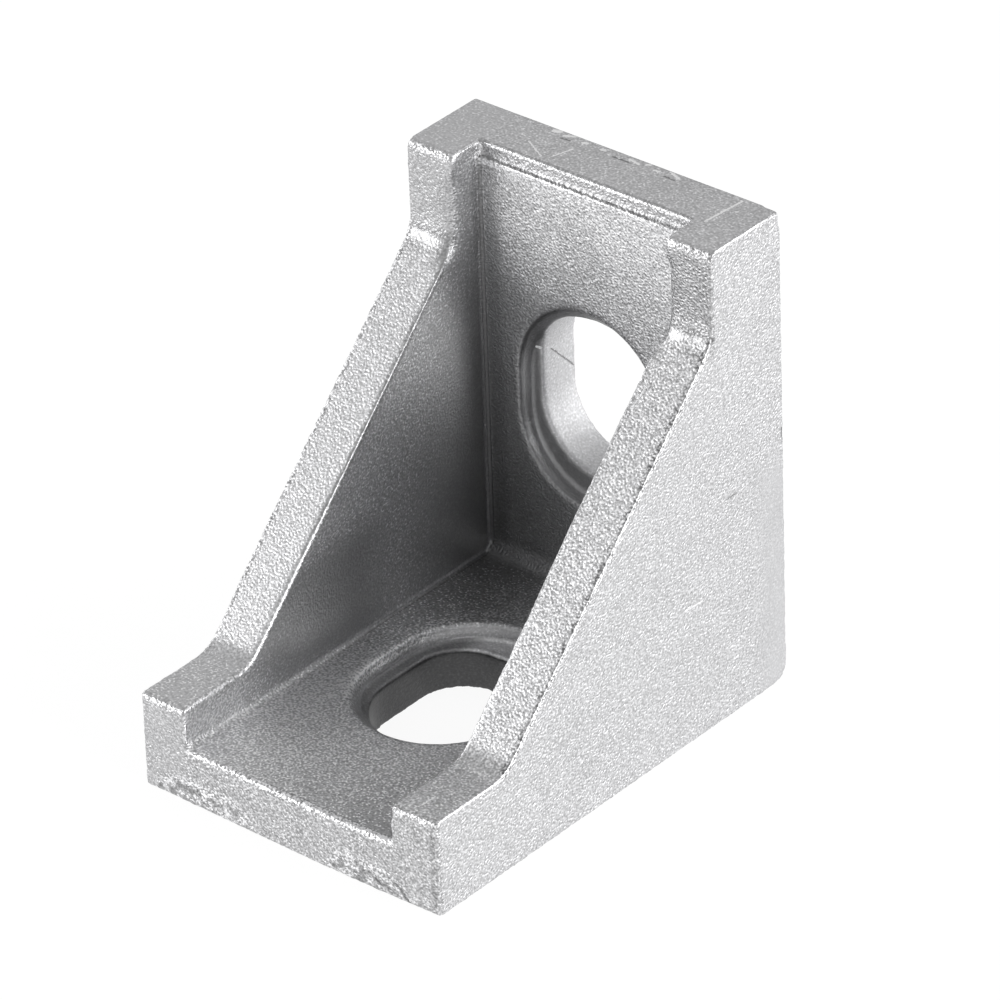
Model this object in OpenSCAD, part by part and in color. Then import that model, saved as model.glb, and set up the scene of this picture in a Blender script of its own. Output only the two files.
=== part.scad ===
// Corner bracket for slotted framing profile: two legs at a right angle, a gusset on
// each side between them, and one slotted, counterbored hole through each leg. It is
// one die casting, drawn off its tool along the diagonal between the two legs.
// X runs across the width, -Y along the base leg, +Z up the upright leg. The origin is
// at the middle of the footprint, on the mounting face of the base leg.

/* [Legs] */
// Width of the bracket, the same as the profile it is bolted to
bracket_w = 20; // [16:0.5:30]
// Length of the base leg, from the upright's mounting face to its free end
base_len = 28; // [26:0.5:36]
// Height of the upright leg, from the base's mounting face to its free end
upright_len = 28; // [26:0.5:36]
// Thickness of the base leg between the gussets
base_t = 3.3; // [2.6:0.1:4]
// Thickness of the upright leg between the gussets
upright_t = 3.6; // [2.6:0.1:4]

/* [Gussets] */
// Thickness of each side gusset
gusset_t = 3; // [2:0.1:3.6]
// Height of a gusset above a leg's mounting face at the leg's free end
stub_h = 5.65; // [5:0.05:7]
// Length of the flat land between a leg's free end and the foot of the slope
land_len = 5.1; // [3.5:0.1:6.5]
// Radius of the hollow where the slope runs into a land
slope_r = 2.2; // [0.5:0.1:4]

/* [Slotted holes] */
// Width of the slot through each leg
slot_w = 7.7; // [5:0.1:8]
// End-to-end length of the slot through each leg
slot_len = 9.4; // [8.5:0.1:10]
// Distance of the base leg's slot centre from the upright's mounting face
base_slot_at = 15.1; // [14:0.1:16]
// Distance of the upright leg's slot centre from the base's mounting face
upright_slot_at = 14.4; // [14:0.1:16]
// Radius of the fuller corners at the base slot's end nearer the corner
base_slot_r = 2.7; // [2:0.1:3.8]
// Radius of the fuller corners at the upright slot's end nearer the free end
upright_slot_r = 3; // [2:0.1:3.8]
// How far a slot's rounded end stands past its fuller corners
slot_crown = 0.1; // [0.05:0.05:0.5]

/* [Counterbores] */
// Width of the counterbore round each slot
bore_w = 9.3; // [8.4:0.1:10.4]
// Depth of the counterbore below the leg's inner face
bore_depth = 0.95; // [0.4:0.05:1.6]
// Ledge of the counterbore's floor past the slot's end nearer the corner
near_ledge = 1.5; // [0.3:0.1:2]
// Ledge of the counterbore's floor past the slot's end nearer the leg's free end
far_ledge = 0.1; // [0.1:0.1:1]

/* [Edges] */
// Radius of the outer corner where the two mounting faces meet
heel_r = 1; // [0.2:0.1:2]
// Radius of the edge between the upright's mounting face and its free end
upright_end_r = 0.2; // [0.1:0.1:2]
// Radius of the gussets' edge at the upright's free end
upright_land_r = 0.5; // [0.2:0.1:1.5]
// Radius of the gussets' edge at the base's free end
base_land_r = 0.3; // [0.1:0.1:1.5]
// Radius of the edge between the base's mounting face and its free end
base_end_r = 0.15; // [0.05:0.05:1.5]
// Radius of the inside corner where the two legs meet
inner_corner_r = 1; // [0.4:0.1:2]
// Radius of the creases between the gussets and the legs
crease_r = 0.35; // [0.2:0.05:1.2]

/* [End strip] */
// Height of the relieved strip inside the upright's free end
strip_h = 0.85; // [0.4:0.05:2]
// How far the strip is set back from the upright's inner face
strip_depth = 0.25; // [0.1:0.05:0.5]

/* [Hidden] */
$fn = 96;
// Facets of the shapes that a hull joins
hull_fn = 32;
// Overlap that makes a cut or a joined piece run cleanly past a face
over = 0.5;
// Height of the thin slabs that a hull joins
slab = 0.01;
pocket_w = bracket_w - 2 * gusset_t;
// Turn of the outline where the slope leaves the base's land, and the upright's
slope_run = base_len - stub_h - land_len;
slope_rise = upright_len - stub_h - land_len;
base_turn = atan2(slope_rise, slope_run);
upright_turn = 90 - base_turn;

// Stadium outline, its length along Y, centred on the origin
module stadium(w, len) {
    square([w, len - w], center = true);
    for (end = [-1, 1])
        translate([0, end * (len - w) / 2]) circle(d = w);
}

// Outline of a slot: a stadium whose end on the side given has fuller corners
module slot_outline(full_end, corner_r) {
    flat_at = slot_len / 2 - slot_crown;
    stadium(slot_w, slot_len);
    mirror([0, full_end > 0 ? 0 : 1]) {
        translate([-slot_w / 2, 0]) square([slot_w, flat_at - corner_r]);
        translate([corner_r - slot_w / 2, 0]) square([slot_w - 2 * corner_r, flat_at]);
        for (side = [-1, 1])
            translate([side * (slot_w / 2 - corner_r), flat_at - corner_r])
                circle(corner_r);
    }
}

// Rounds off one outer corner of the side outline; side says which way the corner points
module corner_waste(at, side, r) {
    translate(at)
        difference() {
            translate([side[0] > 0 ? -r : -over, side[1] > 0 ? -r : -over])
                square(r + over);
            translate([-side[0] * r, -side[1] * r]) circle(r);
        }
}

// Fills the hollow where the slope meets a land, drawn for a land that runs back along
// -X from the origin and a slope that turns up from it by the angle given
module slope_fill(turn, r) {
    reach = r * tan(turn / 2);
    difference() {
        polygon([
            [-reach, 0],
            [-reach, -over],
            [over, -over],
            [reach * cos(turn) + over * sin(turn), reach * sin(turn) - over * cos(turn)],
            [reach * cos(turn), reach * sin(turn)]
        ]);
        translate([-reach, r]) circle(r);
    }
}

// Side outline of the gussets and legs: first axis forward from the upright's mounting
// face, second axis up from the base's mounting face
module side_outline() {
    difference() {
        union() {
            polygon([
                [0, 0],
                [base_len, 0],
                [base_len, stub_h],
                [base_len - land_len, stub_h],
                [stub_h, upright_len - land_len],
                [stub_h, upright_len],
                [0, upright_len]
            ]);
            translate([base_len - land_len, stub_h])
                mirror([1, 0]) slope_fill(base_turn, slope_r);
            translate([stub_h, upright_len - land_len])
                rotate(-90) slope_fill(upright_turn, slope_r);
        }
        corner_waste([0, 0], [-1, -1], heel_r);
        corner_waste([0, upright_len], [-1, 1], upright_end_r);
        corner_waste([stub_h, upright_len], [1, 1], upright_land_r);
        corner_waste([base_len, stub_h], [1, 1], base_land_r);
        corner_waste([base_len, 0], [1, -1], base_end_r);
    }
}

// Side outline of the pocket between the gussets, in the same axes
module pocket_outline() {
    far = base_len + upright_len;
    difference() {
        translate([upright_t, base_t]) square(far);
        corner_waste([upright_t, base_t], [-1, -1], inner_corner_r);
    }
}

// Turns a side outline into a solid of the given width, centred across the bracket
module across(w) {
    rotate([90, 0, -90]) linear_extrude(w, center = true) children();
}

// Rounded fill of one crease along a leg, drawn for the base leg, on the side that
// x_side gives
module crease_fill(x_side, len, leg_t) {
    translate([x_side * pocket_w / 2, -len, leg_t])
        rotate([-90, 0, 0])
            linear_extrude(len)
                difference() {
                    translate([x_side > 0 ? -crease_r : -over, -crease_r])
                        square(crease_r + over);
                    translate([-x_side * crease_r, -crease_r]) circle(crease_r);
                }
}

// Everything cut out for one hole, drawn for the base leg with its slot centred at the
// given distance from the corner; full_end is 1 where the fuller corners are at the end
// nearer the corner. The counterbore's end nearer the free end slopes at 45 degrees,
// along the draw of the tool.
module hole_cut(slot_at, leg_t, full_end, corner_r) {
    floor_z = leg_t - bore_depth;
    floor_len = near_ledge + slot_len + far_ledge;
    floor_at = slot_at + (far_ledge - near_ledge) / 2;
    translate([0, -slot_at, -over])
        linear_extrude(floor_z + 2 * over) slot_outline(full_end, corner_r);
    translate([0, -floor_at, floor_z])
        hull() {
            linear_extrude(bore_depth + over) stadium(bore_w, floor_len, $fn = hull_fn);
            translate([0, -bore_depth - over, bore_depth + over])
                linear_extrude(slab) stadium(bore_w, floor_len, $fn = hull_fn);
        }
}

// The whole casting, with its outer corner on the X axis. What belongs to the upright
// is drawn for a base leg and mirrored across the diagonal.
module casting() {
    difference() {
        union() {
            difference() {
                across(bracket_w) side_outline();
                across(pocket_w) pocket_outline();
            }
            for (x_side = [-1, 1]) {
                crease_fill(x_side, base_len, base_t);
                mirror([0, 1, 1]) crease_fill(x_side, upright_len, upright_t);
            }
        }
        hole_cut(base_slot_at, base_t, 1, base_slot_r);
        mirror([0, 1, 1]) hole_cut(upright_slot_at, upright_t, -1, upright_slot_r);
        translate([-pocket_w / 2, -upright_t - over, upright_len - strip_h])
            cube([pocket_w, over + strip_depth, strip_h + over]);
    }
}

module bracket() {
    color("silver")
        translate([0, base_len / 2, 0]) casting();
}

bracket();
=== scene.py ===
"""A die-cast corner bracket for slotted profile: its blasted skin, cast edges and trimming marks."""
import math
from types import SimpleNamespace

import bpy
import bmesh
from mathutils import Matrix, Vector


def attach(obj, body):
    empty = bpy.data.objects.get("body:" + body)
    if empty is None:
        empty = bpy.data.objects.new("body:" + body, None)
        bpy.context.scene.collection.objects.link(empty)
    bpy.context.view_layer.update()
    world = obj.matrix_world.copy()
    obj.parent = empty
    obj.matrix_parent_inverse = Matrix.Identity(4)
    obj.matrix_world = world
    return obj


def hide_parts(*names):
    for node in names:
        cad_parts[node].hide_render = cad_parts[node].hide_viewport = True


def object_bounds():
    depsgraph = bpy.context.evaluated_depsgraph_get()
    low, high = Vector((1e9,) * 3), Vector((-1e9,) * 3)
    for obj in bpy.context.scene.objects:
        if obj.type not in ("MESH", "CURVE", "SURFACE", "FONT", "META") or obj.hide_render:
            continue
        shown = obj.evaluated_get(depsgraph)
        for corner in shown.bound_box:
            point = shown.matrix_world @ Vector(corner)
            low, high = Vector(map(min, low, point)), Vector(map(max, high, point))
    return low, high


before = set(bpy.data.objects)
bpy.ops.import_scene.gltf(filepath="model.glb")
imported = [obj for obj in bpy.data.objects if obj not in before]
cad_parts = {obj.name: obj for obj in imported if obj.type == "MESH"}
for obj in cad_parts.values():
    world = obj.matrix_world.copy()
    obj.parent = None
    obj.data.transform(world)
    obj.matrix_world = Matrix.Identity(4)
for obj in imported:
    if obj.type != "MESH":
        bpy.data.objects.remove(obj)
cad_low, cad_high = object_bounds()

MM = 0.001

# Casting: outer sizes in millimetres, from the CAD parts' bounds
CAST_LOW = cad_low / MM
CAST_HIGH = cad_high / MM
FRONT_Y = CAST_LOW.y
BACK_Y = CAST_HIGH.y
TOP_Z = CAST_HIGH.z
SIDE_X = CAST_HIGH.x

# Camera: it looks down on the front right corner, from far off
CAMERA_AZIMUTH = math.radians(40.791)
CAMERA_ELEVATION = math.radians(31.373)
CAMERA_ROLL = math.radians(-2.022)
CAMERA_AIM_MM = Vector((1.575, 1.283, 13.907))
CAMERA_DISTANCE_MM = 430.5
LENS_MM = 303.207
SENSOR_MM = 36
NEAREST_M = 0.01
FARTHEST_M = 20

# Stage. The floor is white by its colour for the lamps; what is seen of it glows evenly
# and reflects a little, so that it keeps a faint shadow.
FLOOR_RADIUS_MM = 3000
FLOOR_SIDES = 96
FLOOR_GAP_MM = 0.02
FLOOR_COLOUR = 0.8
SEEN_FLOOR_COLOUR = 0.12
SEEN_FLOOR_GLOW = 0.92

# Softboxes: name, azimuth and elevation in degrees, watts. Azimuth 0 is in front of the
# base leg's free end, 90 is the right side.
SOFTBOXES = (
    ("right low", 90, 12, 1.549),
    ("back right low", 130, 12, 0.879),
    ("right high", 140, 42, 0.161),
    ("left low", 270, 12, 0.376),
    ("front left low", 315, 12, 1.072),
    ("back left high", 225, 42, 0.066),
)
SOFTBOX_DISTANCE_MM = 500
SOFTBOX_WIDTH_MM = 300
SKY_LEVEL = 0.494

# Sizes of the casting that its skin and its masks follow, in millimetres. Depth is measured
# from the upright's mounting face, height from the base's, and X from the middle plane.
BASE_FLOOR_Z = 3.3
UPRIGHT_FACE_DEPTH = 3.6
POCKET_X = 7
# Radius of the creases between the gussets and the legs
CREASE_MM = 0.35
# Height of the lands, the sum of depth and height all along the slope, the depth where the
# slope meets the base's land, and the height where it meets the upright's
LAND_LEVEL = 5.65
SLOPE_SUM = 28.55
LAND_FOOT = 22.9
SLOPE_TOP_Z = 22.75
# Relieved strip inside the upright's free end
STRIP_FOOT_Z = 27.15
STRIP_DEPTH = 3.35
# Slots and counterbores: where their middles are, and how far their masks reach from there
SLOT_X = 3.85
BASE_SLOT_AT = 15.1
UPRIGHT_SLOT_AT = 14.4
SLOT_REACH = 7.0
BASE_BORE_AT = 14.4
UPRIGHT_BORE_AT = 13.7
BORE_REACH = 8.0
BASE_LEDGE_Z = 2.35
BASE_BORE_ENDS = (12.3, 16.5)
BORE_RADIUS = 4.65
# Thickness that counts as the skin of a flat side
SIDE_SKIN = 0.05

# Skin of the casting. Steps are rounds of smoothing, which decide how round an edge is.
VOXEL_MM = 0.09
MERGE_MM = 0.0001
EDGE_STEPS = 1
WIDE_EDGE_STEPS = 14
SOFT_EDGE_STEPS = 110
EDGE_FINDING_STEPS = 10
FULL_EDGE_MM = 0.1
TRIANGLES = 195000
# How far the surface strays: along ragged edges, with the share of that along calm ones;
# all over; in the gate scars; and the base's bulging end, narrower at its left
RAGGED_MM = 0.05
CALM_SHARE = 0.2
UNEVEN_MM = 0.006
SCAR_MM = 0.05
LEAST_BULGE_MM = 0.02
BULGE_MM = 0.28
NARROWER_MM = 0.07

# Metal: tone of its reflection and how much bluer than red it is, and its grain
METAL_ROUGHNESS = 0.42
HOLE_ROUGHNESS = 0.65
METAL_TONE = 0.6
BLUE_SHARE = 1.015
GRAIN_MM = 0.135
GRAIN_DEPTH_MM = 0.055
# The grain is two layers of dents, turned off the axes, the second finer and moved along
GRAIN_SQUASH = 1.15
GRAIN_TURN = (0.5, 0.7, 0.4)
SECOND_LAYER_AT = (31.0, 17.0, 5.0)
SECOND_LAYER_SCALE = 1.1
PATCH_SCALE = 0.5
SPECKLE_GAIN = 6.0
SPECKLE_LIMITS = (-1.1, 1.4)
# Painted glints, where the second layer of dents is past these levels
GLINTS_FROM = 0.65
GLINTS_FULL = 0.75
GRAIN_CONTRAST = 0.24
# Strength of the painted glints where no region sets it
PLAIN_SPARKLE = 0.1
LEFT_CONTRAST_SHARE = 0.6
PATCHINESS = 0.04
# Grain fades where the pocket's shade is between these
SHADE_OF_NO_GRAIN = 0.45
SHADE_OF_FULL_GRAIN = 0.95
LEAST_CONTRAST_SHARE = 0.25
# Frosted edges with painted highlight, dark lines with painted crease shade, and how far the
# fine marks stray from a straight line
FROST_AND_HIGHLIGHT_TONE = 0.86
FROST_AND_HIGHLIGHT_SPECKLE = 0.12
DARK_SHARE = 0.45
MARK_STRAY_MM = 0.03
MARK_FADE_MM = 0.055

# Share of the metal's tone in each region. Where regions overlap, the shares multiply.
REGION_TONES = {
    # Base slot: painted shade on its walls and ledge, painted highlight on its rim and far ledge
    "Base Hole": 0.13,
    "Base Rim": 1.15,
    "Base Ledge": 0.5,
    "Base Far Ledge": 1.25,
    # Upright slot: painted shade on its rim and bore top, painted light on its walls
    "Upright Rim": 0.7,
    "Upright Hole": 1.07,
    "Upright Bore Top": 0.45,
    # Painted shade on the front faces and the upright's end fronts
    "Front": 0.85,
    "End Front": 0.8,
    # Painted light on the slopes, and painted shade over highlights at their tops and inner edges
    "Slope": 1.08,
    "Slope Top": 0.72,
    "Inner Edge": 0.7,
    "Strip": 0.77,
    # Painted shade in the creases between the gussets and the legs
    "Crease": 0.5,
    "Crease Start": 0.9,
    "Scar": 0.65,
}
# Contrast of the speckle and strength of the painted glints in each region, and then depth
# of the relief. Where regions overlap, the later one in the list wins.
REGION_GRAIN = (
    ("Slope", 0.4, 0.1),
    ("Front", 0.42, 0.25),
    ("End Front", 0.38, 0.25),
    ("Back", 0.39, 0.25),
    ("Base Floor", 0.34, 2.2),
    ("Top", 0.2, 0.3),
    ("Stub Top", 0.32, 0.6),
    ("Gusset Inside", 0.3, 0.7),
    ("Bore", 0.12, 0.2),
    ("Base Rim", 0.5, 1.2),
    ("Upright Hole", 0.1, 0.1),
    ("Base Hole", 0.1, 0.1),
)
REGION_RELIEF = (
    ("Slope", 0.4),
    ("Back", 0.6),
    ("Base Floor", 0.35),
    ("Top", 0.3),
    ("Stub Top", 0.4),
    ("Gusset Inside", 0.35),
    ("Bore", 0.2),
    ("Upright Hole", 0.2),
    ("Base Hole", 0.2),
    ("Crease", 0.1),
)

# Painted shade: the tone of the pocket between the gussets is painted darker towards its
# inner left corner, where the share of the tone that is left is CORNER_SHADE. Its logarithm
# gains with the distance out from the upright and right from the left gusset, ever more
# gently up to their reach, and with the height above the base. Right of the corner the other
# two gains count for less.
CORNER_SHADE = 0.427
OUT_REACH_MM = 19.4
RIGHT_REACH_MM = 30
UP_REACH_MM = 20
OUT_GAIN = 0.94
RIGHT_GAIN = 1.17
UP_GAIN = 0.54
OUT_GAIN_LOST_RIGHT = 2.15
UP_GAIN_LOST_RIGHT = 0.78
SHADE_LIMITS = (0.25, 1.2)

# Share of the pocket's painted shade in the few spots that are painted darker or paler than it
POCKET_SPOTS = {
    "gusset foot": 0.6,
    "gusset front foot": 1.12,
    "heel": 0.8,
    "beside left gusset": 0.85,
    "floor left": 1.2,
    "floor back": 1.2,
    "back top left": 1.2,
    # Painted shadow of the right stub on the base floor
    "floor right": 0.9,
}

# Scars of the two gates on the base's free end: from x, to x, height of the arch. The
# arch's line wanders with a noise of the size, detail and seed given.
GATE_SCARS = ((-9.3, -2.4, 1.2), (2.6, 7.6, 1.25))
ARCH_SQUARENESS = 5.0
ARCH_NOISE = (0.5, 3.0, 11.0)
ARCH_WANDER_MM = 0.35

# Fine marks, each from one point to another in millimetres, with its half width. Three of
# the bright ones are a painted highlight and painted glints.
BRIGHT_MARKS_AND_GLINTS = (
    ((8.34, -13.33, 5.65), (8.36, -12.4, 5.65), 0.03),
    ((10, 5.73, 8.14), (10, 7.13, 8.05), 0.02),
    # Painted highlight along the left gusset's foot, and two painted glints on its inside
    ((-7, -11.58, 3.4), (-7, -10.16, 3.5), 0.04),
    ((-7, 10.3, 22.4), (-7, 10.3, 20.9), 0.04),
    ((-7, 10.3, 14.5), (-7, 10.3, 13.8), 0.04),
    ((-4.45, 13.6, 28), (-4.2, 13.7, 28), 0.14),
    ((-3.7, 13.5, 28), (-3.2, 13.76, 28), 0.06),
    ((-2.45, 13.5, 28), (-2.25, 13.54, 28), 0.08),
    ((-1.25, 13.48, 28), (-1.05, 13.55, 28), 0.07),
    ((0.55, 13.56, 28), (1.25, 13.43, 28), 0.06),
    ((1.65, 13.68, 28), (1.8, 13.72, 28), 0.06),
    ((2.3, 13.4, 28), (2.6, 13.45, 28), 0.05),
    ((3.2, 13.74, 28), (3.9, 13.46, 28), 0.05),
    ((-4.82, 11.96, 28), (-3.31, 11.1, 28), 0.02),
    ((-2.82, 11.47, 28), (-2.46, 12.66, 28), 0.02),
    ((7.68, 10.84, 28), (7.91, 13.58, 28), 0.04),
    ((-3.95, 11.35, 16.2), (-4.3, 11.35, 16.3), 0.06),
)
DARK_MARKS = (
    ((-3.7, 13.2, 28), (-3.1, 13.25, 28), 0.03),
    ((-0.3, 13.26, 28), (0.8, 13.28, 28), 0.03),
    ((3.1, 13.22, 28), (3.75, 13.2, 28), 0.03),
    ((10, 9.25, 13.11), (10, 10.08, 13.13), 0.01),
    ((10, 13.87, 15.2), (10, 13.87, 14.7), 0.03),
    ((-SLOT_X, 12.09, 15.91), (-SLOT_X, 13.86, 14.09), 0.02),
    ((7.05, -14.27, 0.95), (7.5, -14.27, 0.7), 0.06),
    ((7.5, -14.27, 0.7), (8.07, -14.26, 0.05), 0.08),
    ((5.9, -14.28, 0.72), (6.2, -14.28, 0.55), 0.06),
    ((-3.6, -14.1, 1.1), (-2.9, -14.1, 0.6), 0.06),
    ((-6.0, -14.1, 0.55), (-5.6, -14.1, 0.42), 0.06),
)


class Wiring:
    """Lays nodes in one tree and joins them up."""

    def __init__(self, tree):
        self.tree = tree

    def feed(self, socket, value):
        if isinstance(value, bpy.types.NodeSocket):
            self.tree.links.new(value, socket)
        else:
            socket.default_value = value

    def node(self, kind, inputs=None, **settings):
        made = self.tree.nodes.new(kind)
        for name, value in settings.items():
            setattr(made, name, value)
        for name, value in (inputs or {}).items():
            self.feed(next(s for s in made.inputs if s.name == name and s.enabled), value)
        return made

    def math(self, operation, *values):
        made = self.node("ShaderNodeMath", operation=operation)
        for socket, value in zip(made.inputs, values):
            self.feed(socket, value)
        return made.outputs["Value"]

    def vector(self, operation, *values, scale=None):
        made = self.node("ShaderNodeVectorMath", operation=operation)
        for socket, value in zip(made.inputs, values):
            self.feed(socket, value)
        if scale is not None:
            self.feed(made.inputs["Scale"], scale)
        return next(s for s in made.outputs if s.enabled)

    def axes(self, where):
        made = self.node("ShaderNodeSeparateXYZ", {"Vector": where})
        return made.outputs["X"], made.outputs["Y"], made.outputs["Z"]

    def place(self, x, y, z):
        return self.node("ShaderNodeCombineXYZ", {"X": x, "Y": y, "Z": z}).outputs["Vector"]

    def ramp(self, value, low, high, to_low=0.0, to_high=1.0):
        """Eases from one value to the other, and stays level beyond low and high. The node's
        own clamp is off because that step never needs it and it costs the shader memory."""
        inputs = {"Value": value, "From Min": low, "From Max": high,
                  "To Min": to_low, "To Max": to_high}
        made = self.node("ShaderNodeMapRange", inputs, interpolation_type="SMOOTHSTEP", clamp=False)
        return made.outputs["Result"]

    def above(self, value, limit, soft):
        """1 where the value is past the limit, 0 where it is short of it by the soft width."""
        return self.ramp(value, self.math("SUBTRACT", limit, soft), limit)

    def below(self, value, limit, soft):
        """1 where the value is short of the limit, 0 where it is past it by the soft width."""
        return self.ramp(value, limit, self.math("ADD", limit, soft), 1.0, 0.0)

    def near(self, value, target, reach, soft):
        """1 where the value is within reach of the target, fading over the soft width."""
        off = self.math("ABSOLUTE", self.math("SUBTRACT", value, target))
        return self.below(off, reach, soft)

    def all_of(self, first, *rest):
        """Product of masks and shares."""
        for mask in rest:
            first = self.math("MULTIPLY", first, mask)
        return first

    def any_of(self, first, *rest):
        """The largest of the masks."""
        for mask in rest:
            first = self.math("MAXIMUM", first, mask)
        return first

    def total(self, first, *rest):
        for value in rest:
            first = self.math("ADD", first, value)
        return first

    def limited(self, value, low, high):
        return self.math("MAXIMUM", self.math("MINIMUM", value, high), low)

    def noise(self, where, size, detail=2.0, seed=0.0):
        """Noise about zero, of roughly -1 to 1."""
        moved = self.vector("ADD", where, (seed, seed * 1.7, seed * 2.3))
        inputs = {"Vector": moved, "Scale": 1 / size, "Detail": detail, "Roughness": 0.5}
        made = self.node("ShaderNodeTexNoise", inputs).outputs["Fac"]
        return self.math("MULTIPLY", self.math("SUBTRACT", made, 0.5), 3.0)

    def mix(self, share, low, high, kind="FLOAT"):
        made = self.node("ShaderNodeMix", data_type=kind)
        for name, value in {"Factor": share, "A": low, "B": high}.items():
            self.feed(next(s for s in made.inputs if s.name == name and s.enabled), value)
        return next(s for s in made.outputs if s.enabled)


def new_tree(kind, name, inputs, outputs):
    """A node group with the named sockets, and its wiring, input node and output node."""
    tree = bpy.data.node_groups.new(name, kind)
    for direction, sockets in (("INPUT", inputs), ("OUTPUT", outputs)):
        for socket_name, socket_type, value in sockets:
            made = tree.interface.new_socket(socket_name, in_out=direction, socket_type=socket_type)
            if value is not None:
                made.default_value = value
    wiring = Wiring(tree)
    return tree, wiring, wiring.node("NodeGroupInput"), wiring.node("NodeGroupOutput")


def aim_camera():
    """The camera, turned round its aim point by azimuth, elevation and roll."""
    back = Vector((
        math.sin(CAMERA_AZIMUTH) * math.cos(CAMERA_ELEVATION),
        -math.cos(CAMERA_AZIMUTH) * math.cos(CAMERA_ELEVATION),
        math.sin(CAMERA_ELEVATION),
    ))
    level = Vector((math.cos(CAMERA_AZIMUTH), math.sin(CAMERA_AZIMUTH), 0))
    right = Matrix.Rotation(CAMERA_ROLL, 3, back) @ level
    up = back.cross(right)
    camera = bpy.data.objects.new("camera", bpy.data.cameras.new("camera"))
    camera.data.lens = LENS_MM
    camera.data.sensor_width = SENSOR_MM
    camera.data.clip_start = NEAREST_M
    camera.data.clip_end = FARTHEST_M
    camera.matrix_world = Matrix((right, up, back)).transposed().to_4x4()
    camera.location = (CAMERA_AIM_MM + back * CAMERA_DISTANCE_MM) * MM
    bpy.context.scene.collection.objects.link(camera)
    bpy.context.scene.camera = camera


def grey(level):
    return level, level, level, 1


def floor_material():
    """White floor. What shows of it is nearly even white that keeps a faint shadow."""
    material = bpy.data.materials.new("white floor")
    material.use_nodes = True
    material.node_tree.nodes.clear()
    w = Wiring(material.node_tree)
    path = w.node("ShaderNodeLightPath")
    seen = w.math("MAXIMUM", path.outputs["Is Camera Ray"], path.outputs["Is Glossy Ray"])
    seen = w.math("MAXIMUM", seen, path.outputs["Is Transmission Ray"])
    plain = w.node("ShaderNodeBsdfDiffuse", {"Color": grey(FLOOR_COLOUR)})
    faint = w.node("ShaderNodeBsdfDiffuse", {"Color": grey(SEEN_FLOOR_COLOUR)})
    white = w.node("ShaderNodeEmission", {"Color": grey(SEEN_FLOOR_GLOW), "Strength": 1.0})
    shown = w.node("ShaderNodeAddShader")
    w.feed(shown.inputs[0], faint.outputs[0])
    w.feed(shown.inputs[1], white.outputs[0])
    either = w.node("ShaderNodeMixShader")
    w.feed(either.inputs[0], seen)
    w.feed(either.inputs[1], plain.outputs[0])
    w.feed(either.inputs[2], shown.outputs[0])
    out = w.node("ShaderNodeOutputMaterial")
    w.feed(out.inputs["Surface"], either.outputs[0])
    return material


def lay_floor():
    mesh = bpy.data.meshes.new("floor")
    bm = bmesh.new()
    bmesh.ops.create_circle(bm, cap_ends=True, segments=FLOOR_SIDES, radius=FLOOR_RADIUS_MM * MM)
    bmesh.ops.translate(bm, verts=bm.verts, vec=(0, 0, -FLOOR_GAP_MM * MM))
    bm.to_mesh(mesh)
    bm.free()
    mesh.materials.append(floor_material())
    floor = bpy.data.objects.new("floor", mesh)
    bpy.context.scene.collection.objects.link(floor)


def hang_softboxes():
    centre = (cad_low + cad_high) / 2
    for name, azimuth, elevation, watts in SOFTBOXES:
        lamp = bpy.data.lights.new(name, "AREA")
        lamp.shape = "DISK"
        lamp.size = SOFTBOX_WIDTH_MM * MM
        lamp.energy = watts
        a, e = math.radians(azimuth), math.radians(elevation)
        away = Vector((math.sin(a) * math.cos(e), -math.cos(a) * math.cos(e), math.sin(e)))
        softbox = bpy.data.objects.new(name, lamp)
        softbox.location = centre + away * SOFTBOX_DISTANCE_MM * MM
        softbox.rotation_euler = away.to_track_quat("Z", "Y").to_euler()
        softbox.visible_camera = False
        bpy.context.scene.collection.objects.link(softbox)


def light_sky():
    world = bpy.data.worlds.new("pale room")
    world.use_nodes = True
    background = world.node_tree.nodes["Background"]
    background.inputs["Color"].default_value = grey(1)
    background.inputs["Strength"].default_value = SKY_LEVEL
    bpy.context.scene.world = world


def cast_places(w, where_mm):
    """Places that the skin and the masks follow, in millimetres: the three axes, depth from
    the upright's mounting face, distance off the middle plane, and distance in from the
    gussets' free edge, along the slope and along whichever part of it is nearest."""
    x, y, z = w.axes(where_mm)
    depth = w.math("SUBTRACT", BACK_Y, y)
    off_middle = w.math("ABSOLUTE", x)
    short_of_slope = w.math("SUBTRACT", SLOPE_SUM, w.math("ADD", depth, z))
    from_slope = w.math("MULTIPLY", short_of_slope, math.sqrt(0.5))
    from_upright_land = w.math("SUBTRACT", LAND_LEVEL, depth)
    from_base_land = w.math("SUBTRACT", LAND_LEVEL, z)
    inward = w.any_of(from_slope, from_upright_land, from_base_land)
    return SimpleNamespace(x=x, y=y, z=z, depth=depth, off_middle=off_middle,
                           from_slope=from_slope, inward=inward)


def gate_scars(w, x, z, wander):
    """How far a point on the base's free end lies above the nearer gate scar's arch, with
    the arch's line moved by the wander. Below zero is inside a scar."""
    over = None
    for start, end, arch in GATE_SCARS:
        across = w.math("DIVIDE", w.math("SUBTRACT", x, (start + end) / 2), (end - start) / 2)
        bow = w.math("POWER", w.math("ABSOLUTE", across), ARCH_SQUARENESS)
        roof = w.math("MULTIPLY", w.math("SUBTRACT", 1.0, bow), arch)
        above = w.math("SUBTRACT", w.math("ADD", z, wander), roof)
        over = above if over is None else w.math("MINIMUM", over, above)
    return over


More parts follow.
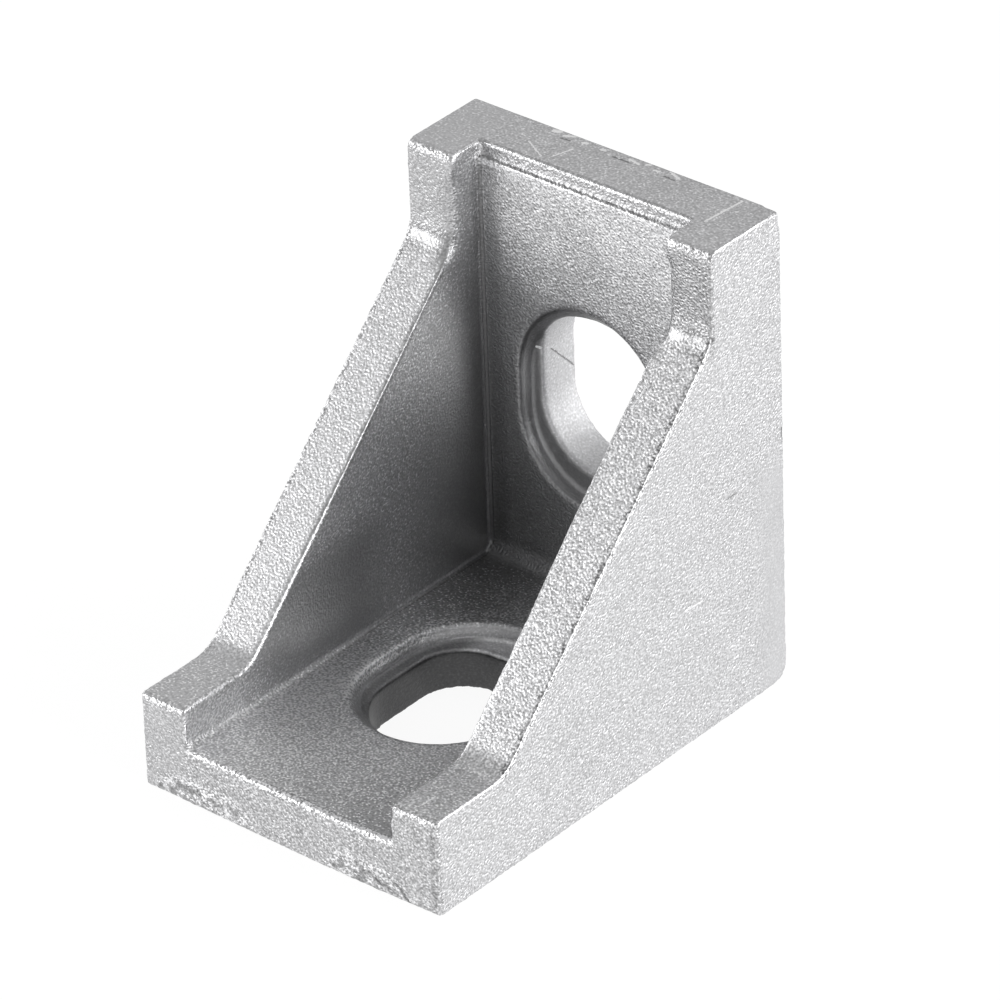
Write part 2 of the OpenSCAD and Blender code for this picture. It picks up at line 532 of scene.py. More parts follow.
class CastRegions:
    """Builds the shader group of the casting's regions: the tone of its metal, with painted light
    and shade, and masks of the faces that differ in grain and relief. A mask is a product of
    soft bands in millimetres, each with the place it goes by, where it lies, how far it reaches
    and the width over which it fades."""

    MASKS = ("Top", "Stub Top", "Slope", "End Front", "Gusset Inside", "Back", "Base Floor",
             "Upright Hole", "Base Hole", "Base Rim", "Bore", "Front", "Dark Line And Crease Shade",
             "Scar Rim", "Frost And Highlight", "Crease", "Shade", "Right Grain")

    def __init__(self):
        self.tree, self.w, given, self.out = new_tree(
            "ShaderNodeTree", "cast regions",
            (("Vector", "NodeSocketVector", None), ("Speckle", "NodeSocketFloat", 0.0)),
            tuple((name, "NodeSocketFloat", None) for name in ("Tone",) + self.MASKS),
        )
        self.where = given.outputs["Vector"]
        self.speckle = given.outputs["Speckle"]
        self.at = cast_places(self.w, self.where)
        self.tone = METAL_TONE
        self.gusset_faces()
        self.pocket_faces()
        self.holes()
        self.base_counterbore()
        self.pocket_shade()
        self.creases()
        self.right_side()
        self.front_face()
        self.flash_lines()
        self.frosted_and_highlit_edges()
        self.dark_lines_and_crease_shade()
        self.gate_scar_faces()
        self.put_out("Tone", self.tone)

    def put_out(self, name, value):
        self.w.feed(self.out.inputs[name], value)

    def tint(self, name, mask):
        """Multiplies the tone by the region's share where the mask is 1."""
        share = self.w.mix(mask, 1.0, REGION_TONES[name])
        self.tone = self.w.math("MULTIPLY", self.tone, share)

    def on_side(self, across):
        """1 on the flat of a side face."""
        return self.w.above(across, SIDE_X - SIDE_SKIN, 0.03)

    def gusset_faces(self):
        w, at = self.w, self.at
        in_gusset = w.above(at.off_middle, POCKET_X, 0.1)
        self.put_out("Top", w.above(at.z, TOP_Z - 0.08, 0.05))
        self.put_out("Stub Top", w.all_of(w.near(at.z, LAND_LEVEL, 0.08, 0.05),
                                          w.above(at.depth, LAND_FOOT + 0.35, 0.3), in_gusset))
        self.slope = w.all_of(w.near(at.from_slope, 0.0, 0.15, 0.1), in_gusset,
                              w.above(at.depth, LAND_LEVEL, 0.3), w.above(at.z, LAND_LEVEL, 0.1))
        self.put_out("Slope", self.slope)
        # Painted light on the slopes; painted shade over the highlights at their tops and inner edges
        self.tint("Slope", self.slope)
        self.tint("Slope Top", w.all_of(w.near(at.z, SLOPE_TOP_Z, 0.4, 0.4),
                                        w.near(at.inward, -0.07, 0.2, 0.1),
                                        w.near(at.off_middle, 8.45, 1.4, 0.15)))
        self.tint("Inner Edge", w.all_of(w.near(at.off_middle, POCKET_X + 0.05, 0.12, 0.12),
                                         w.near(at.inward, 0.05, 0.15, 0.15),
                                         w.above(at.z, 12.0, 4.0), w.below(at.z, 23.0, 1.0)))
        self.tint("Strip", w.all_of(w.near(at.depth, STRIP_DEPTH, 0.1, 0.1),
                                    w.above(at.z, STRIP_FOOT_Z, 0.05),
                                    w.below(at.off_middle, POCKET_X, 0.05)))
        end_front = w.all_of(w.near(at.depth, LAND_LEVEL, 0.15, 0.15),
                             w.above(at.off_middle, 7.8, 1.0), w.above(at.z, 22.6, 1.2))
        self.put_out("End Front", end_front)
        # Painted shade on the end fronts
        self.tint("End Front", end_front)

    def pocket_faces(self):
        w, at = self.w, self.at
        pocket = w.all_of(w.above(at.depth, 1.0, 0.5), w.above(at.z, 1.0, 0.5),
                          w.above(at.y, FRONT_Y + 0.15, 0.1), w.below(at.z, TOP_Z - 0.3, 0.2))
        between = w.all_of(pocket, w.below(at.off_middle, POCKET_X - CREASE_MM, CREASE_MM))
        self.put_out("Gusset Inside", w.all_of(
            pocket, w.near(at.off_middle, POCKET_X, 0.05, 0.3),
            w.above(at.depth, UPRIGHT_FACE_DEPTH + CREASE_MM, CREASE_MM),
            w.above(at.z, BASE_FLOOR_Z + CREASE_MM, CREASE_MM)))
        self.put_out("Back", w.all_of(between, w.near(at.depth, UPRIGHT_FACE_DEPTH, 0.1, 0.2)))
        self.put_out("Base Floor", w.all_of(between, w.near(at.z, BASE_FLOOR_Z, 0.1, 0.2)))

    def holes(self):
        """The two slots, their counterbores and the upright counterbore's rim, with painted shade
        and painted light on their walls, ledges and rims.
        """
        w, at = self.w, self.at
        hole = w.below(at.off_middle, 5.0, 0.1)
        upright_hole = w.all_of(hole, w.below(at.depth, 2.45, 0.15), w.above(at.depth, 0.05, 0.02),
                                w.near(at.z, UPRIGHT_SLOT_AT, SLOT_REACH, 0.1))
        self.put_out("Upright Hole", upright_hole)
        self.tint("Upright Hole", upright_hole)
        base_hole = w.all_of(hole, w.below(at.z, 2.15, 0.15), w.above(at.z, 0.05, 0.02),
                             w.near(at.depth, BASE_SLOT_AT, SLOT_REACH, 0.1))
        self.put_out("Base Hole", base_hole)
        self.tint("Base Hole", base_hole)
        self.tint("Upright Bore Top", w.all_of(hole, w.near(at.depth, 3.05, 0.35, 0.15),
                                               w.above(at.z, 17.0, 2.5), w.below(at.z, 21.0, 0.3)))
        self.tint("Base Ledge", w.all_of(hole, w.near(at.z, BASE_LEDGE_Z, 0.12, 0.1),
                                         w.below(at.x, -3.3, 1.2), w.near(at.depth, 14.5, 5.5, 1.0)))
        self.tint("Base Far Ledge", w.all_of(hole, w.near(at.z, BASE_LEDGE_Z, 0.08, 0.1),
                                             w.below(at.depth, 11.0, 1.0), w.above(at.x, -2.0, 1.5)))
        self.tint("Upright Rim", w.all_of(w.below(at.off_middle, 5.2, 0.1),
                                          w.near(at.depth, 3.38, 0.08, 0.08),
                                          w.near(at.z, 13.0, 7.0, 1.0), w.below(at.x, 0.0, 1.0)))
        upright_bore = w.all_of(w.near(at.depth, 2.95, 0.5, 0.1),
                                w.near(at.z, UPRIGHT_BORE_AT, BORE_REACH, 0.1))
        base_bore = w.all_of(w.near(at.z, 2.65, 0.5, 0.1),
                             w.near(at.depth, BASE_BORE_AT, BORE_REACH, 0.1))
        self.put_out("Bore", w.all_of(w.below(at.off_middle, 5.3, 0.1),
                                      w.any_of(upright_bore, base_bore)))

    def base_counterbore(self):
        """The foot and the rim of the base counterbore's far wall, with painted shade at the foot
        and painted highlight on the rim.
        """
        w, at = self.w, self.at
        end_at = w.limited(at.depth, *BASE_BORE_ENDS)
        from_end = w.vector("LENGTH", w.place(at.x, w.math("SUBTRACT", at.depth, end_at), 0.0))
        self.base_foot_shade = w.all_of(w.near(from_end, BORE_RADIUS - 0.05, 0.12, 0.1),
                                  w.near(at.z, 2.5, 0.1, 0.1), w.below(at.depth, 11.0, 1.0))
        base_rim = w.all_of(w.near(from_end, BORE_RADIUS, 0.15, 0.3), w.near(at.z, 3.1, 0.2, 0.25),
                            w.below(at.depth, 18.0, 3.0))
        self.put_out("Base Rim", base_rim)
        self.tint("Base Rim", base_rim)

    def pocket_shade(self):
        """Painted shade: the pocket between the gussets is painted darker towards its inner corner,
        and a few spots in it are painted darker or paler than that."""
        w, at = self.w, self.at
        at.to_upright = w.math("SUBTRACT", at.depth, UPRIGHT_FACE_DEPTH)
        at.to_base = w.math("SUBTRACT", at.z, BASE_FLOOR_Z)
        at.to_gusset = w.math("SUBTRACT", at.off_middle, POCKET_X)
        out = w.math("MAXIMUM", at.to_upright, 0.0)
        up = w.math("MAXIMUM", at.to_base, 0.0)
        right = w.math("MAXIMUM", w.math("ADD", at.x, POCKET_X), 0.0)
        out_share = w.math("DIVIDE", out, OUT_REACH_MM)
        up_share = w.math("DIVIDE", up, UP_REACH_MM)
        right_share = w.math("DIVIDE", right, RIGHT_REACH_MM)
        out_gain = w.all_of(w.math("SUBTRACT", 2.0, out_share), out_share, OUT_GAIN)
        right_gain = w.all_of(w.math("SUBTRACT", 2.0, right_share), right_share, RIGHT_GAIN)
        up_gain = w.all_of(up_share, up_share, UP_GAIN)
        lost_right = w.total(w.all_of(out_share, -OUT_GAIN_LOST_RIGHT),
                             w.all_of(up_share, -UP_GAIN_LOST_RIGHT))
        logarithm = w.total(out_gain, right_gain, up_gain, w.all_of(lost_right, right_share),
                            math.log(CORNER_SHADE))
        self.shade = w.limited(w.math("EXPONENT", logarithm), *SHADE_LIMITS)

        def spot(name, *bands):
            """Multiplies the shade by the spot's share where all its bands are 1."""
            share = w.mix(w.all_of(*bands), 1.0, POCKET_SPOTS[name])
            self.shade = w.math("MULTIPLY", self.shade, share)

        spot("gusset foot", w.near(at.to_gusset, 0.0, 0.1, 0.3), w.near(out, 14.0, 3.0, 4.0),
             w.near(up, 3.0, 2.0, 3.0))
        spot("gusset front foot", w.near(at.to_gusset, 0.0, 0.1, 0.2), w.above(out, 19.0, 4.0),
             w.below(up, 1.0, 1.5), w.above(up, 0.35, 0.3))
        spot("heel", w.below(out, 0.3, 0.7), w.below(up, 0.3, 0.7))
        spot("beside left gusset", w.near(right, 0.7, 0.3, 0.6), w.below(out, 0.1, 0.3))
        on_floor = w.near(at.to_base, 0.0, 0.1, 0.2)
        spot("floor left", on_floor, w.below(at.x, -5.0, 2.0), w.near(out, 15.5, 2.5, 3.5))
        spot("floor back", on_floor, w.near(out, 2.3, 1.2, 1.2))
        spot("back top left", w.below(out, 0.1, 0.2), w.near(at.x, -3.8, 1.2, 1.5),
             w.near(at.z, 22.3, 1.3, 1.5))
        spot("floor right", w.ramp(at.x, 1.5, 6.5), on_floor)
        in_pocket = w.all_of(w.below(at.off_middle, POCKET_X, 0.12), w.above(at.depth, 2.62, 0.05),
                             w.above(at.z, 2.32, 0.05), w.above(at.y, FRONT_Y + 0.25, 0.2),
                             w.below(at.z, 26.6, 0.5), w.ramp(at.inward, -0.2, 0.05))
        self.shade = w.mix(in_pocket, 1.0, self.shade)
        self.put_out("Shade", self.shade)
        self.tone = w.math("MULTIPLY", self.tone, self.shade)

    def creases(self):
        """Painted shade in the fillets between the gussets and the legs, near the inner corner."""
        w, at = self.w, self.at
        fillet = w.all_of(w.near(at.to_gusset, -0.16, 0.06, 0.08), w.below(at.depth, 11.0, 6.0))
        self.tint("Crease Start", w.all_of(w.near(at.to_gusset, -0.02, 0.03, 0.05),
                                           w.near(at.to_upright, 0.26, 0.06, 0.09)))
        crease = w.all_of(fillet, w.any_of(w.near(at.to_upright, 0.06, 0.05, 0.08),
                                           w.near(at.to_base, 0.06, 0.05, 0.08)))
        self.put_out("Crease", crease)
        self.tint("Crease", crease)

    def right_side(self):
        """Calmer grain low at the right side's back, and stronger grain towards its front."""
        w, at = self.w, self.at
        calm_back = w.mix(w.above(at.z, 15.0, 3.0), w.ramp(at.depth, 0.5, 3.5, 0.3, 1.0), 1.0)
        right_grain = w.math("MULTIPLY", calm_back, w.ramp(at.depth, 6.0, 20.0, 1.0, 1.1))
        self.put_out("Right Grain", w.mix(self.on_side(at.x), 1.0, right_grain))

    def front_face(self):
        self.front = self.w.below(self.at.y, FRONT_Y + SIDE_SKIN, 0.05)
        self.put_out("Front", self.front)
        # Painted shade on the front faces
        self.tint("Front", self.front)
        self.lumpy = self.w.noise(self.where, *ARCH_NOISE)

    def flash_lines(self):
        """Broken grooves beside the gussets' outer edges, where the flash was trimmed."""
        w = self.w
        line = w.math("ADD", self.at.off_middle, w.math("MULTIPLY", self.speckle, 0.06))
        slope_groove = w.all_of(self.slope, w.near(line, 9.87, 0.12, 0.14),
                                w.ramp(self.speckle, 0.5, -0.5))
        front_groove = w.all_of(self.front, w.near(line, 9.66, 0.07, 0.14),
                                w.above(self.at.x, 9.0, 0.5), 0.6)
        self.groove = w.all_of(w.any_of(slope_groove, front_groove), w.ramp(self.lumpy, -0.5, 0.3))

    def frosted_and_highlit_edges(self):
        """Edges that the blasting has left pale and patchy, with painted highlight where they face
        the light. How far in the paleness reaches wanders, and the last factor of an edge is its
        strength where that is below 1."""
        w, at, front, speckle = self.w, self.at, self.front, self.speckle
        patchy = w.math("ADD", w.math("MULTIPLY", speckle, 0.5), w.math("MULTIPLY", self.lumpy, 0.5))
        reach = w.math("ADD", w.math("MULTIPLY", patchy, 0.14), 0.11)
        inner_corner = w.all_of(w.near(at.off_middle, POCKET_X, 0.3, 0.2), w.below(at.depth, 4.5, 0.5))
        top_limit = w.math("SUBTRACT", 27.87, w.math("MULTIPLY", reach, 0.65))
        top_front = w.all_of(w.above(at.z, top_limit, 0.08), w.below(at.z, 27.88, 0.05),
                             w.above(at.depth, 3.0, 0.1), w.below(at.depth, 6.0, 0.1),
                             w.below(at.off_middle, 9.9, 0.05), w.math("SUBTRACT", 1.0, inner_corner))
        top_right = w.all_of(self.on_side(at.off_middle),
                             w.above(at.z, w.math("SUBTRACT", TOP_Z - 0.03, reach), 0.08),
                             w.below(at.z, TOP_Z - 0.03, 0.02), 0.35)
        inner_edge = w.all_of(w.near(at.off_middle, POCKET_X, reach, 0.08),
                              w.below(at.inward, reach, 0.1), w.above(at.y, FRONT_Y + 0.4, 0.3),
                              w.ramp(at.z, 7.5, 12.0, 1.0, 0.0))
        thin = w.math("MULTIPLY", reach, 0.5)
        stub_front = w.all_of(front, w.near(at.z, LAND_LEVEL - 0.22, reach, 0.1),
                              w.above(at.off_middle, 6.9, 0.1), w.ramp(speckle, -0.7, 0.5), 0.8)
        stub_right = w.all_of(self.on_side(at.off_middle), w.near(at.z, LAND_LEVEL - 0.03, thin, 0.08),
                              w.above(at.depth, 22.0, 1.0), 0.3)
        lip = w.all_of(front, w.above(at.z, w.math("SUBTRACT", BASE_FLOOR_Z - 0.05, reach), 0.1),
                       w.below(at.off_middle, POCKET_X, 0.2))
        ledge = w.all_of(w.near(at.depth, UPRIGHT_FACE_DEPTH, 0.05, 0.1),
                         w.near(at.z, 26.9, reach, 0.12), w.below(at.off_middle, POCKET_X, 0.1), 0.6)
        frost_and_highlight = w.any_of(top_front, top_right, inner_edge, stub_front, stub_right, lip, ledge)
        self.put_out("Frost And Highlight", w.all_of(frost_and_highlight, w.ramp(patchy, -0.4, 0.15), 0.9))

    def dark_lines_and_crease_shade(self):
        """Painted shade at the counterbore's foot and in the crease below the upright's strip, and the
        flash lines.
        """
        w, at = self.w, self.at
        waving = w.math("ADD", at.z, w.math("MULTIPLY", self.lumpy, 0.03))
        reach = w.ramp(at.x, 1.0, 6.5, 0.02, 0.09)
        strip_crease_shade = w.all_of(w.near(waving, STRIP_FOOT_Z, reach, 0.07),
                                w.near(at.depth, 3.45, 0.2, 0.1), w.below(at.off_middle, POCKET_X, 0.05))
        self.put_out("Dark Line And Crease Shade", w.any_of(self.base_foot_shade, self.groove,
                                           w.math("MULTIPLY", strip_crease_shade, 0.75)))

    def gate_scar_faces(self):
        w, at, lumpy = self.w, self.at, self.lumpy
        over = gate_scars(w, at.x, at.z, w.math("MULTIPLY", lumpy, ARCH_WANDER_MM))
        rim = w.all_of(w.near(over, 0.05, 0.2, 0.25), w.ramp(lumpy, -0.5, 0.2), 0.8)
        scar = w.below(over, -0.15, 0.1)
        self.put_out("Scar Rim", w.all_of(
            self.front, w.any_of(rim, w.all_of(scar, w.ramp(lumpy, 0.0, 0.3)))))
        self.tint("Scar", w.all_of(self.front, scar, w.ramp(lumpy, 0.05, -0.3)))


def blast_grain():
    """Shader group: the overlapping dents that blasting leaves. Speckle and Patchy run from
    about -1 to 1, Glint is 1 on a few points where the tone is painted with glints."""
    tree, w, given, out = new_tree(
        "ShaderNodeTree", "blast grain",
        (("Vector", "NodeSocketVector", None), ("Grain", "NodeSocketFloat", 0.15)),
        (("Height", "NodeSocketFloat", None), ("Speckle", "NodeSocketFloat", None),
         ("Glint", "NodeSocketFloat", None), ("Patchy", "NodeSocketFloat", None)),
    )
    squashed = w.vector("MULTIPLY", given.outputs["Vector"], (1.0, 1.0, GRAIN_SQUASH))
    turned = w.node("ShaderNodeVectorRotate", {"Vector": squashed, "Rotation": GRAIN_TURN},
                    rotation_type="EULER_XYZ")
    where = turned.outputs["Vector"]
    scale = w.math("DIVIDE", 1.0, given.outputs["Grain"])
    fine = w.node("ShaderNodeTexNoise", {"Vector": where, "Scale": scale, "Detail": 0.0}).outputs["Fac"]
    shifted = w.vector("ADD", where, SECOND_LAYER_AT)
    finer = w.math("MULTIPLY", scale, SECOND_LAYER_SCALE)
    inputs = {"Vector": shifted, "Scale": finer, "Detail": 0.0}
    other = w.node("ShaderNodeTexNoise", inputs).outputs["Fac"]
    patches = w.node("ShaderNodeTexNoise", {"Vector": where, "Scale": PATCH_SCALE, "Detail": 1.0})
    coarse = patches.outputs["Fac"]
    w.feed(out.inputs["Height"], fine)
    speckle = w.math("MULTIPLY", w.math("SUBTRACT", w.mix(0.5, fine, other), 0.5), SPECKLE_GAIN)
    w.feed(out.inputs["Speckle"], w.limited(speckle, *SPECKLE_LIMITS))
    w.feed(out.inputs["Glint"], w.ramp(other, GLINTS_FROM, GLINTS_FULL))
    w.feed(out.inputs["Patchy"], w.math("MULTIPLY", w.math("SUBTRACT", coarse, 0.5), 3.0))
    return tree


def line_mark():
    """Shader group: 1 along the line that starts at Start and has the given Run, within the
    Half Width of it. Run Share is the Run over its length squared."""
    tree, w, given, out = new_tree(
        "ShaderNodeTree", "line mark",
        (("Vector", "NodeSocketVector", None), ("Start", "NodeSocketVector", None),
         ("Run", "NodeSocketVector", None), ("Run Share", "NodeSocketVector", None),
         ("Half Width", "NodeSocketFloat", 0.05)),
        (("Mask", "NodeSocketFloat", None),),
    )
    run = given.outputs["Run"]
    from_start = w.vector("SUBTRACT", given.outputs["Vector"], given.outputs["Start"])
    along = w.vector("DOT_PRODUCT", from_start, given.outputs["Run Share"])
    share = w.node("ShaderNodeClamp", {"Value": along}).outputs["Result"]
    off = w.vector("DISTANCE", from_start, w.vector("SCALE", run, scale=share))
    w.feed(out.inputs["Mask"], w.below(off, given.outputs["Half Width"], MARK_FADE_MM))
    return tree


def marks_mask(w, line_tree, where_mm, marks):
    """1 on any of the marks."""
    found = None
    for start, end, half_width in marks:
        run = Vector(end) - Vector(start)
        line = w.node("ShaderNodeGroup", node_tree=line_tree)
        w.feed(line.inputs["Vector"], where_mm)
        w.feed(line.inputs["Start"], start)
        w.feed(line.inputs["Run"], run)
        w.feed(line.inputs["Run Share"], run / run.length_squared)
        w.feed(line.inputs["Half Width"], half_width)
        mark = line.outputs["Mask"]
        found = mark if found is None else w.any_of(found, mark)
    return found


def cast_aluminium():
    """Metal whose tone carries the blasted speckle with painted glints, the regions with their
    painted light and shade, the frosted edges with painted highlight, and the fine marks with
    a few painted glints, and whose normal carries the dents."""
    material = bpy.data.materials.new("blasted cast aluminium")
    material.use_nodes = True
    w = Wiring(material.node_tree)
    shader = material.node_tree.nodes["Principled BSDF"]
    shader.inputs["Metallic"].default_value = 1.0
    place = w.node("ShaderNodeTexCoord").outputs["Object"]
    place_mm = w.vector("SCALE", place, scale=1 / MM)
    grain = w.node("ShaderNodeGroup", node_tree=blast_grain())
    w.feed(grain.inputs["Vector"], place_mm)
    w.feed(grain.inputs["Grain"], GRAIN_MM)
    speckle, glint, patchy = (grain.outputs[name] for name in ("Speckle", "Glint", "Patchy"))
    regions = w.node("ShaderNodeGroup", node_tree=CastRegions().tree)
    w.feed(regions.inputs["Vector"], place_mm)
    w.feed(regions.inputs["Speckle"], speckle)
    mask = regions.outputs

    contrast = GRAIN_CONTRAST
    sparkle = PLAIN_SPARKLE
    for name, strength, glints in REGION_GRAIN:
        contrast = w.mix(mask[name], contrast, strength)
        sparkle = w.mix(mask[name], sparkle, glints)
    left_side = w.below(w.axes(place_mm)[0], -7.3, 0.4)
    contrast = w.math("MULTIPLY", contrast, w.mix(left_side, 1.0, LEFT_CONTRAST_SHARE))
    unshaded = w.ramp(mask["Shade"], SHADE_OF_NO_GRAIN, SHADE_OF_FULL_GRAIN,
                      LEAST_CONTRAST_SHARE, 1.0)
    contrast = w.math("MULTIPLY", contrast, unshaded)
    contrast = w.math("MULTIPLY", contrast, mask["Right Grain"])
    unshaded = w.ramp(mask["Shade"], SHADE_OF_NO_GRAIN, SHADE_OF_FULL_GRAIN)
    sparkle = w.math("MULTIPLY", sparkle, unshaded)
    light = w.math("EXPONENT", w.math("MULTIPLY", speckle, contrast))
    # Painted glints brighten the tone on a few points
    light = w.total(light, w.math("MULTIPLY", patchy, PATCHINESS), w.math("MULTIPLY", glint, sparkle))
    tone = w.math("MULTIPLY", mask["Tone"], light)

    line_tree = line_mark()
    stray = w.place(w.math("MULTIPLY", speckle, MARK_STRAY_MM),
                    w.math("MULTIPLY", speckle, MARK_STRAY_MM), 0.0)
    strayed = w.vector("ADD", place_mm, stray)
    # Dark marks, flash lines, and painted shade at the counterbore's foot and below the strip
    dark = w.any_of(marks_mask(w, line_tree, strayed, DARK_MARKS), mask["Dark Line And Crease Shade"])
    rim = w.math("MULTIPLY", mask["Scar Rim"], w.ramp(speckle, -0.6, 0.3))
    # Frosted edges, partly painted highlight, and the scars' pale rims take a pale tone
    frosted_and_highlit = w.any_of(mask["Frost And Highlight"], rim)
    frost_and_highlight_tone = w.math("ADD", w.math("MULTIPLY", speckle, FROST_AND_HIGHLIGHT_SPECKLE), FROST_AND_HIGHLIGHT_TONE)
    tone = w.mix(frosted_and_highlit, tone, frost_and_highlight_tone)
    # Bright marks and painted glints take full white
    tone = w.mix(marks_mask(w, line_tree, strayed, BRIGHT_MARKS_AND_GLINTS), tone, 1.0)
    tone = w.math("MULTIPLY", tone, w.mix(dark, 1.0, DARK_SHARE))
    tone = w.math("MINIMUM", tone, 1.0)
    colour = {"Red": tone, "Green": tone, "Blue": w.math("MULTIPLY", tone, BLUE_SHARE)}
    w.feed(shader.inputs["Base Color"], w.node("ShaderNodeCombineColor", colour).outputs["Color"])

    w.feed(shader.inputs["Roughness"], w.mix(mask["Upright Hole"], METAL_ROUGHNESS, HOLE_ROUGHNESS))
    relief = mask["Right Grain"]
    for name, depth_share in REGION_RELIEF:
        relief = w.mix(mask[name], relief, depth_share)
    height = w.math("MULTIPLY", grain.outputs["Height"], relief)
    bump = w.node("ShaderNodeBump", {"Strength": 1.0, "Distance": GRAIN_DEPTH_MM * MM, "Height": height})
    w.feed(shader.inputs["Normal"], bump.outputs["Normal"])
    return material


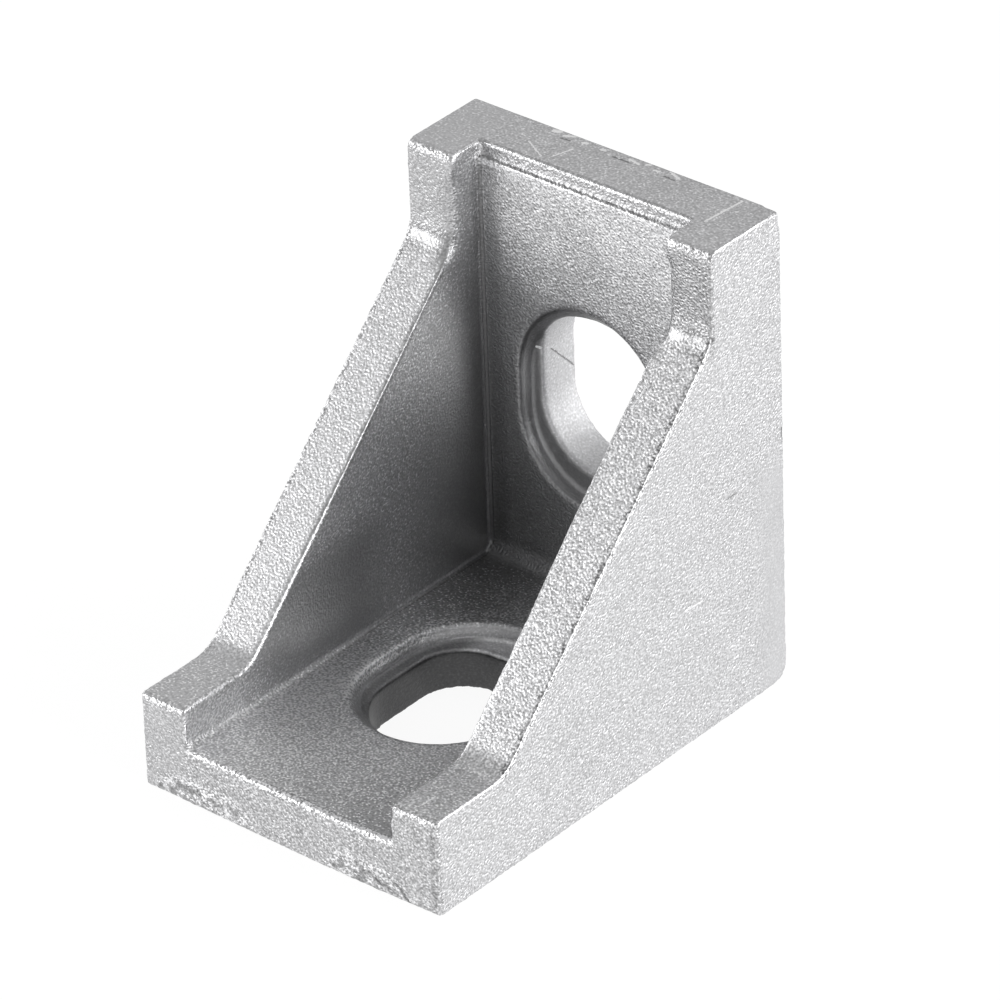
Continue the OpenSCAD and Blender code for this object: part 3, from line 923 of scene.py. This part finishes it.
def cast_skin():
    """Geometry tree: rounds and roughens the voxel skin's edges, and raises the gate scars."""
    tree, w, given, out = new_tree(
        "GeometryNodeTree", "cast skin",
        (("Geometry", "NodeSocketGeometry", None), ("Edge Steps", "NodeSocketInt", EDGE_STEPS),
         ("Wide Edge Steps", "NodeSocketInt", WIDE_EDGE_STEPS),
         ("Soft Edge Steps", "NodeSocketInt", SOFT_EDGE_STEPS), ("Metal", "NodeSocketMaterial", None)),
        (("Geometry", "NodeSocketGeometry", None),),
    )
    position = w.node("GeometryNodeInputPosition").outputs["Position"]
    normal = w.node("GeometryNodeInputNormal").outputs["Normal"]
    where_mm = w.vector("SCALE", position, scale=1 / MM)

    def blurred(steps):
        inputs = {"Value": position, "Iterations": steps, "Weight": 1.0}
        made = w.node("GeometryNodeBlurAttribute", inputs, data_type="FLOAT_VECTOR")
        return next(s for s in made.outputs if s.enabled)

    rounded = blurred(given.outputs["Edge Steps"])
    wide = blurred(given.outputs["Wide Edge Steps"])
    soft = blurred(given.outputs["Soft Edge Steps"])
    at = cast_places(w, where_mm)
    x, y, z, depth, off_middle, inward = at.x, at.y, at.z, at.depth, at.off_middle, at.inward
    upright_edge = w.all_of(w.near(off_middle, POCKET_X, 1.3, 0.7), w.near(depth, LAND_LEVEL, 1.3, 0.7),
                            w.above(z, 22.6, 1.2), w.below(z, 26.0, 1.6))
    gusset_edge = w.all_of(w.near(off_middle, POCKET_X, 0.8, 0.4), w.near(inward, 0.0, 0.8, 0.4),
                           w.below(z, 11.0, 4.0))
    top_edge = w.all_of(w.above(z, 27.3, 0.3), w.below(y, 12.8, 0.4), w.below(off_middle, 9.4, 0.3))
    top_corner = w.all_of(w.above(z, 27.2, 0.3), w.above(y, 13.2, 0.3), w.above(x, 9.2, 0.3))
    stub_edge = w.all_of(w.near(z, LAND_LEVEL, 0.5, 0.3), w.above(depth, LAND_FOOT, 0.5),
                         w.below(off_middle, 9.4, 0.3))
    lip = w.all_of(w.near(z, BASE_FLOOR_Z, 0.5, 0.3), w.below(y, FRONT_Y + 0.5, 0.3),
                   w.below(off_middle, 6.8, 0.5))
    upright_bore = w.all_of(w.near(depth, 3.1, 0.75, 0.2), w.near(z, UPRIGHT_BORE_AT, BORE_REACH, 0.3))
    base_bore = w.all_of(w.near(z, 2.8, 0.75, 0.2), w.near(depth, BASE_BORE_AT, BORE_REACH, 0.3))
    bore_rim = w.all_of(w.below(off_middle, 5.4, 0.3), w.any_of(upright_bore, base_bore))
    widened = w.any_of(gusset_edge, top_edge, top_corner, stub_edge, lip, bore_rim)
    rounded = w.mix(widened, rounded, wide, "VECTOR")
    rounded = w.mix(upright_edge, rounded, soft, "VECTOR")

    proud = w.vector("SUBTRACT", position, blurred(EDGE_FINDING_STEPS))
    turn = w.vector("DOT_PRODUCT", proud, normal)
    edge = w.math("MULTIPLY", turn, 1 / (FULL_EDGE_MM * MM))
    calm = w.all_of(w.above(z, 27.4, 0.3), w.any_of(w.below(x, -9.4, 0.3), w.above(y, 13.4, 0.3)))
    ragged = w.all_of(w.limited(edge, 0.0, 1.0), w.noise(where_mm, 0.35, 2.0, 3.0),
                      w.mix(calm, RAGGED_MM, RAGGED_MM * CALM_SHARE))
    uneven = w.math("MULTIPLY", w.noise(where_mm, 2.6, 2.0, 7.0), UNEVEN_MM)
    wander = w.math("MULTIPLY", w.noise(where_mm, *ARCH_NOISE), ARCH_WANDER_MM)
    over = gate_scars(w, x, z, wander)
    lumps = w.total(w.noise(where_mm, 0.3, 2.0, 13.0), 0.6)
    scar = w.all_of(w.below(over, -0.05, 0.15), w.below(y, FRONT_Y + 0.1, 0.05), w.above(z, 0.3, 0.2),
                    lumps, SCAR_MM)
    push = w.vector("SCALE", normal, scale=w.math("MULTIPLY", w.total(ragged, uneven, scar), MM))
    bulge = w.math("ADD", LEAST_BULGE_MM, w.math("MULTIPLY", w.near(x, 4.5, 0.5, 15.0), BULGE_MM))
    bulge = w.math("MULTIPLY", bulge, w.below(y, FRONT_Y + 0.2, 1.5))
    narrower = w.all_of(w.below(x, -8.0, 1.0), w.below(z, 7.0, 2.0), NARROWER_MM)
    shift = w.place(w.math("MULTIPLY", narrower, MM), w.math("MULTIPLY", bulge, -MM), 0.0)
    push = w.vector("ADD", push, shift)
    inputs = {"Geometry": given.outputs["Geometry"], "Position": rounded, "Offset": push}
    moved = w.node("GeometryNodeSetPosition", inputs)
    smooth = w.node("GeometryNodeSetShadeSmooth", {"Geometry": moved.outputs["Geometry"]})
    real = w.node("GeometryNodeRealizeInstances", {"Geometry": smooth.outputs["Geometry"]})
    metal = w.node("GeometryNodeSetMaterial",
                   {"Geometry": real.outputs["Geometry"], "Material": given.outputs["Metal"]})
    w.feed(out.inputs["Geometry"], metal.outputs["Geometry"])
    return tree


def set_input(modifier, name, value):
    """Sets a geometry tree's input on its modifier, found by name and set by identifier."""
    items = modifier.node_group.interface.items_tree
    item = next(i for i in items if i.name == name and i.in_out == "INPUT")
    modifier[item.identifier] = value


def merged_copy(node):
    """A CAD node's mesh with its loose triangles merged into one skin."""
    mesh = bpy.data.meshes.new("skin")
    bm = bmesh.new()
    bm.from_mesh(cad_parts[node].data)
    bmesh.ops.remove_doubles(bm, verts=bm.verts, dist=MERGE_MM * MM)
    bm.to_mesh(mesh)
    bm.free()
    return mesh


def make_casting():
    """The bracket: a voxel skin over the CAD solid, worked over by the skin tree, thinned
    and made a plain mesh."""
    blank = bpy.data.objects.new("blank", merged_copy("bracket"))
    bpy.context.scene.collection.objects.link(blank)
    remesh = blank.modifiers.new("voxels", "REMESH")
    remesh.mode = "VOXEL"
    remesh.voxel_size = VOXEL_MM * MM
    skin = blank.modifiers.new("skin", "NODES")
    skin.node_group = cast_skin()
    set_input(skin, "Metal", cast_aluminium())
    depsgraph = bpy.context.evaluated_depsgraph_get()
    faces = len(blank.evaluated_get(depsgraph).data.polygons)
    thin = blank.modifiers.new("thin", "DECIMATE")
    thin.ratio = TRIANGLES / (2 * faces)
    blank.modifiers.new("normals", "WEIGHTED_NORMAL")
    depsgraph = bpy.context.evaluated_depsgraph_get()
    mesh = bpy.data.meshes.new_from_object(blank.evaluated_get(depsgraph), depsgraph=depsgraph)
    bpy.data.objects.remove(blank)
    casting = bpy.data.objects.new("casting", mesh)
    bpy.context.scene.collection.objects.link(casting)
    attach(casting, "root")
    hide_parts("bracket")


bpy.context.scene.view_settings.view_transform = "Standard"
aim_camera()
lay_floor()
hang_softboxes()
light_sky()
make_casting()
